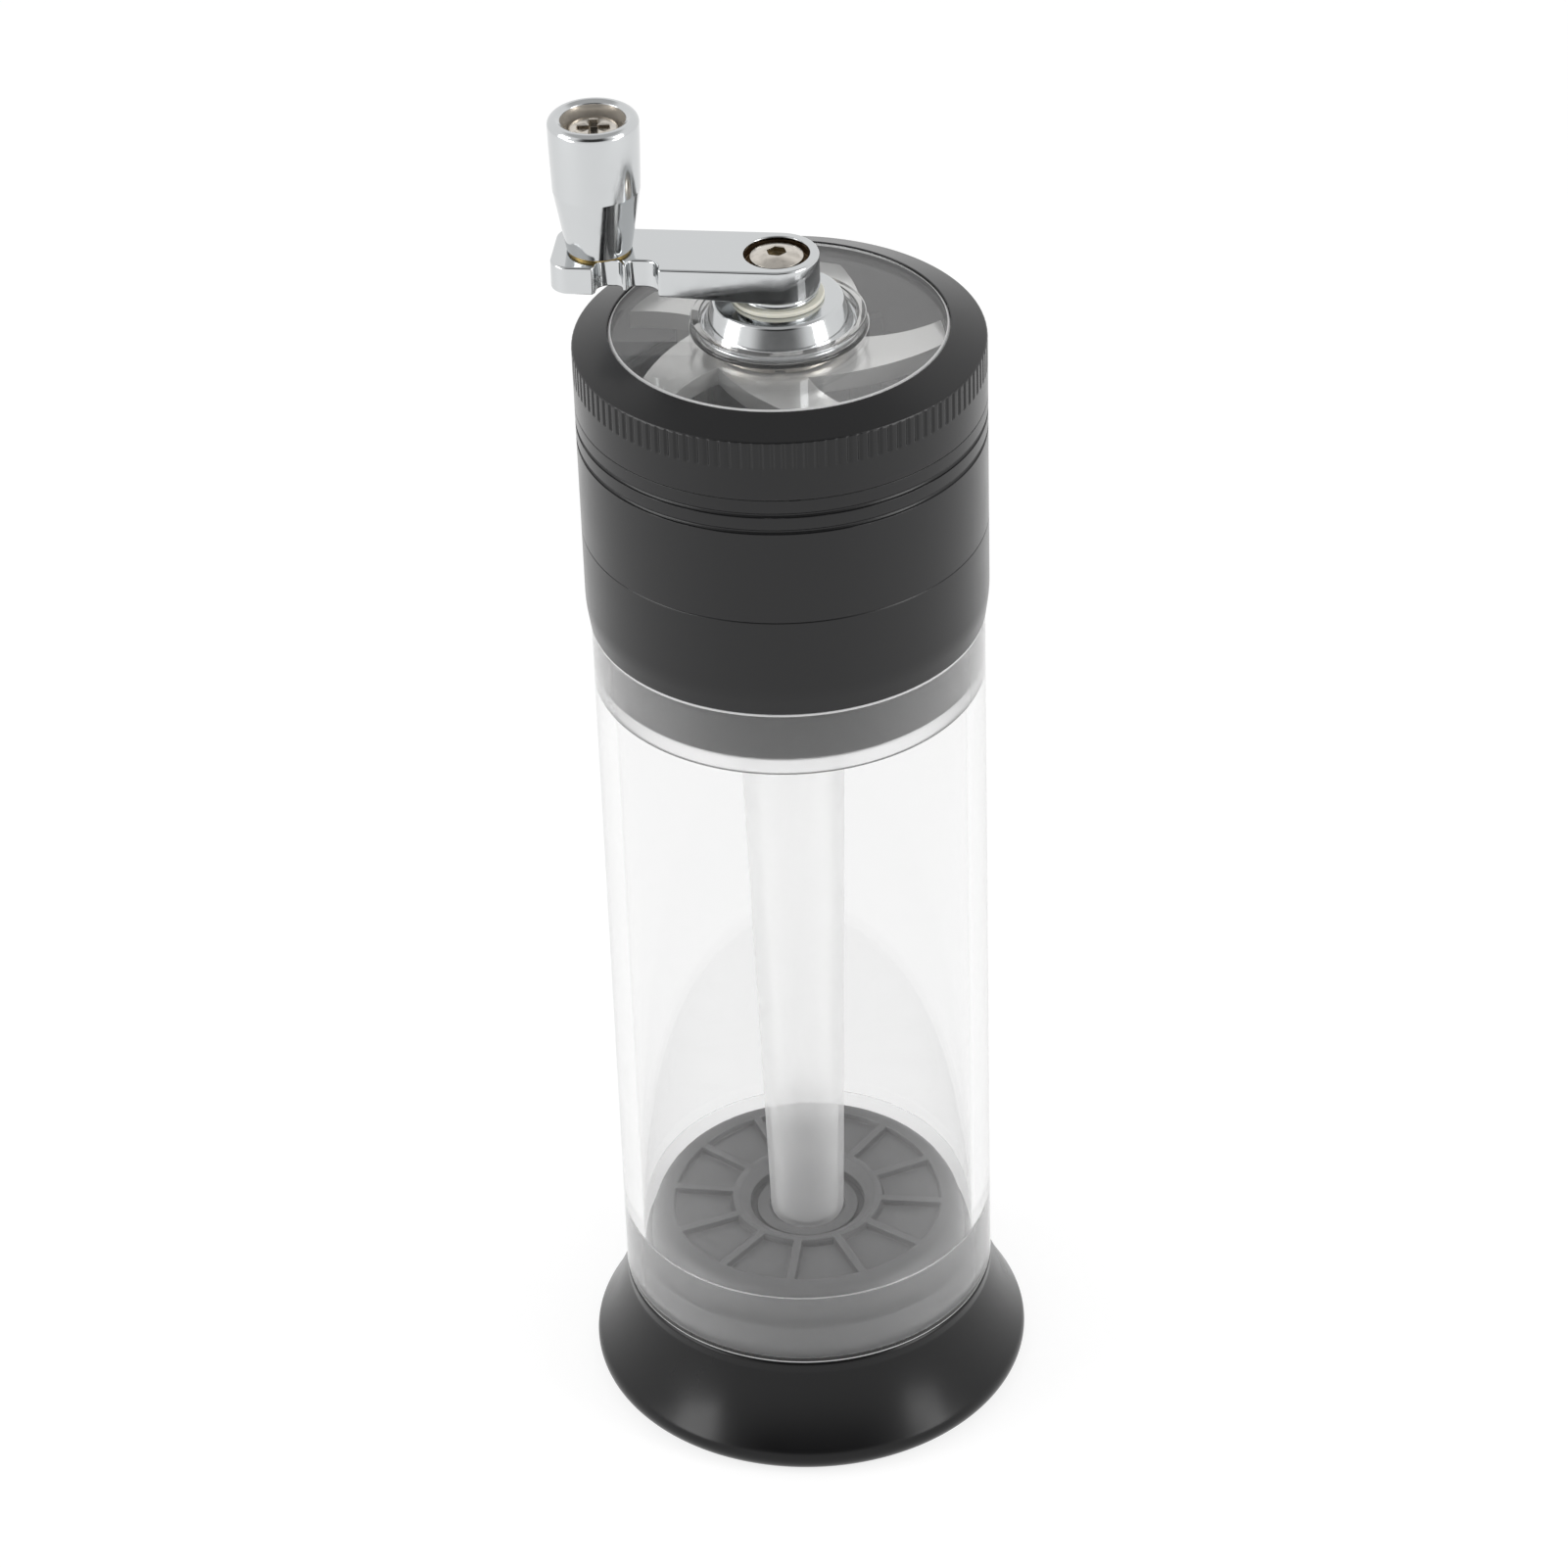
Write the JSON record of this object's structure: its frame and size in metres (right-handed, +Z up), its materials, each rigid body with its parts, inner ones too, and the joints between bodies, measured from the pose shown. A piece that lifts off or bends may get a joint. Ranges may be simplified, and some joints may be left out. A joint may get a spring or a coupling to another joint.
{
  "type": "hand cranked spice mill",
  "caption": "Slim upright hand mill: crank and knob over a windowed metal grinding head on a clear tube with an inner fill tube and a flared foot.",
  "frame": {"origin": "centre of the face it stands on, under the middle of the tube", "axes": "+Z up along the tube and the drive shaft; the crank arm points 173 degrees from +X, as pictured with the viewer at -Y"},
  "size_m": [0.071, 0.071, 0.227],
  "materials": {
    "black_anodised": "bead blasted and black anodised, matt",
    "gloss_black_plastic": "polished gloss black",
    "anodised_plug": "turned and anodised dark grey",
    "clear_acrylic": "clear and polished",
    "milky_plastic": "translucent milky, moulded",
    "chrome": "bright polished plate",
    "steel": "turned bright steel",
    "nylon": "natural nylon",
    "brass": "plain turned brass",
    "black_rubber": "matt"
  },
  "bodies": {
    "foot": {"foot_flare": "gloss_black_plastic", "foot_pad": "black_rubber", "foot_screws": "steel", "tube_plug": "anodised_plug"},
    "fill": {"fill_tube": "milky_plastic"},
    "tube": {"clear_tube": "clear_acrylic"},
    "head": {"head_collar": "black_anodised", "tube_spigot": "black_anodised", "funnel": "black_anodised"},
    "chamber": {"grinding_chamber": "black_anodised", "chamber_magnet": "steel"},
    "lid": {"lid_ring": "black_anodised", "window": "clear_acrylic", "window_gasket": "black_rubber", "window_retainer": "black_anodised", "hub_bush": "chrome", "bush_nut": "steel"},
    "crank": {"drive_shaft": "steel", "rotor": "chrome", "rotor_magnet": "steel", "thrust_washer": "steel", "nylon_washer": "nylon", "crank_arm": "chrome", "arm_screw": "steel", "knob_screw": "steel", "knob_washer": "brass"},
    "grip": {"knob": "chrome"}
  },
  "joints": [
    {"name": "tube_lift", "type": "slide", "parent": "foot", "child": "tube", "axis": [0, 0, 1], "range_m": [0, 0.04]},
    {"name": "fill_lift", "type": "slide", "parent": "foot", "child": "fill", "axis": [0, 0, 1], "range_m": [0, 0.078]},
    {"name": "head_lift", "type": "slide", "parent": "tube", "child": "head", "axis": [0, 0, 1], "range_m": [0, 0.13]},
    {"name": "chamber_lift", "type": "slide", "parent": "head", "child": "chamber", "axis": [0, 0, 1], "range_m": [0, 0.03]},
    {"name": "lid_lift", "type": "slide", "parent": "chamber", "child": "lid", "axis": [0, 0, 1], "range_m": [0, 0.035]},
    {"name": "crank_spin", "type": "hinge", "parent": "lid", "child": "crank", "pos_m": [0, 0, 0.2], "axis": [0, 0, 1], "continuous": true},
    {"name": "knob_spin", "type": "hinge", "parent": "crank", "child": "grip", "pos_m": [-0.02581, 0.00317, 0.216], "axis": [0, 0, 1], "continuous": true}
  ],
  "couplings": [
    {"joint": "fill_lift", "follows": "head_lift", "ratio": 0.6}
  ]
}
